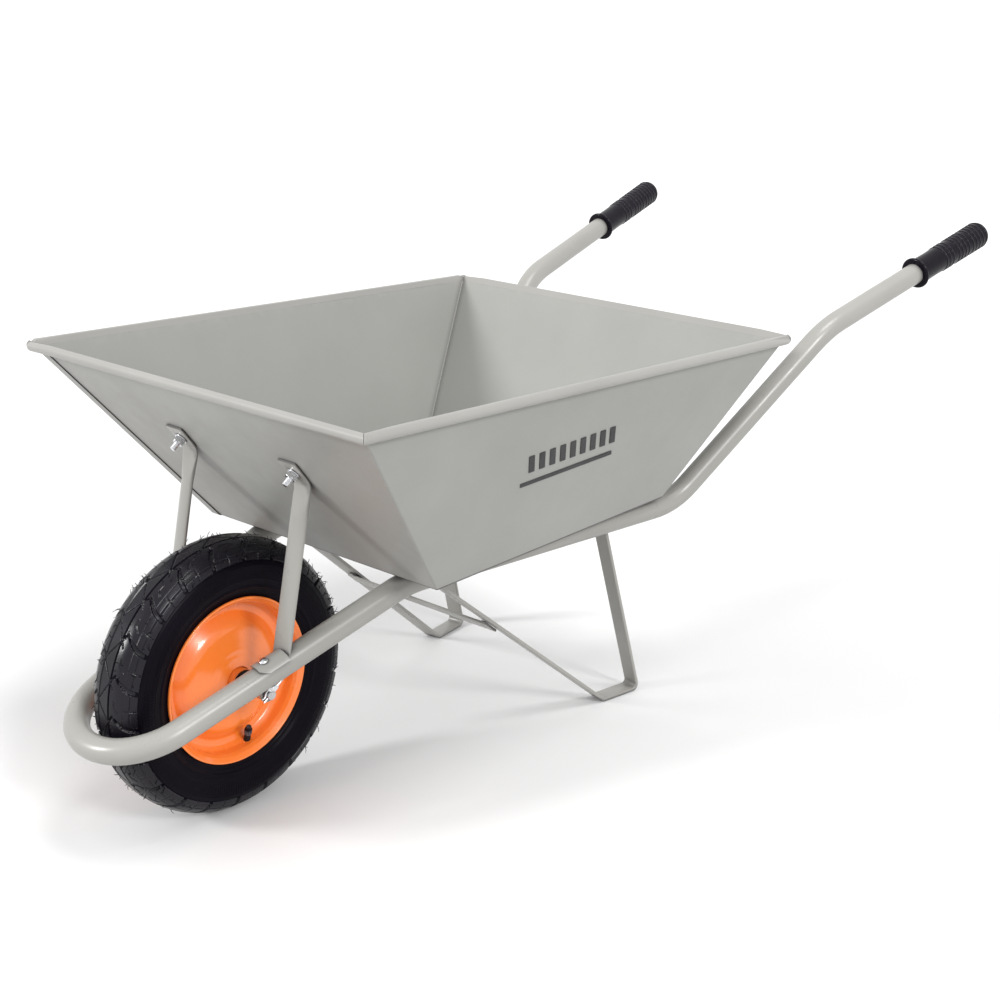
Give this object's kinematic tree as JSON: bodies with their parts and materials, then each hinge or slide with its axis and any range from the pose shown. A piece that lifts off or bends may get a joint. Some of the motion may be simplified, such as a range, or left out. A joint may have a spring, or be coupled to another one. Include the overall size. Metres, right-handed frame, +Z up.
{
  "type": "wheelbarrow",
  "caption": "Builder's wheelbarrow: flared sheet-steel tray on a bent tube frame with strap legs, black grips and a pneumatic wheel held inside the front loop.",
  "frame": {"origin": "on the floor under the middle of the bounding box", "axes": "+X forward to the wheel, +Y to the left of someone pushing it, +Z up"},
  "size_m": [1.5086, 0.6906, 0.6163],
  "materials": {
    "frame_paint": "satin grey powder coat on tube, straps and brackets",
    "tray_paint": "satin grey powder coat on pressed sheet",
    "bead_paint": "satin grey powder coat on the rolled edge",
    "orange_paint": "glossy orange enamel on the wheel rim and hub",
    "tyre_rubber": "moulded black rubber with a block tread",
    "inner_rubber": "smooth black butyl",
    "black_plastic": "moulded black plastic with a dull sheen",
    "zinc": "bright zinc-plated steel",
    "bare_steel": "plain drawn steel"
  },
  "bodies": {
    "frame": {"axle": "bare_steel", "axle_bracket_left": "frame_paint", "axle_bracket_right": "frame_paint", "axle_clip_left": "zinc", "axle_clip_right": "zinc", "axle_spacer_left": "bare_steel", "axle_spacer_right": "bare_steel", "frame_tube": "frame_paint", "grip_left": "black_plastic", "grip_right": "black_plastic", "leg_cross_brace": "frame_paint", "leg_left": "frame_paint", "leg_right": "frame_paint", "strut_bolt_left": "zinc", "strut_bolt_right": "zinc", "strut_left": "frame_paint", "strut_nut_left": "zinc", "strut_nut_right": "zinc", "strut_right": "frame_paint", "strut_washer_left": "zinc", "strut_washer_right": "zinc", "tray_floor": "tray_paint", "tray_rim_bead": "bead_paint", "tray_sheet_front_left": "tray_paint", "tray_sheet_rear_right": "tray_paint", "tube_bolt_left": "zinc", "tube_bolt_right": "zinc", "tube_nut_left": "zinc", "tube_nut_right": "zinc"},
    "wheel": {"tyre": "tyre_rubber", "inner_tube": "inner_rubber", "valve_cap": "black_plastic", "hub_tube": "orange_paint", "rim_half_left": "orange_paint", "rim_half_right": "orange_paint", "hub_bush_left": "black_plastic", "hub_bush_right": "black_plastic"}
  },
  "joints": [
    {"name": "wheel_spin", "type": "hinge", "parent": "frame", "child": "wheel", "pos_m": [0.5405, 0, 0.178], "axis": [0, 1, 0], "continuous": true}
  ]
}
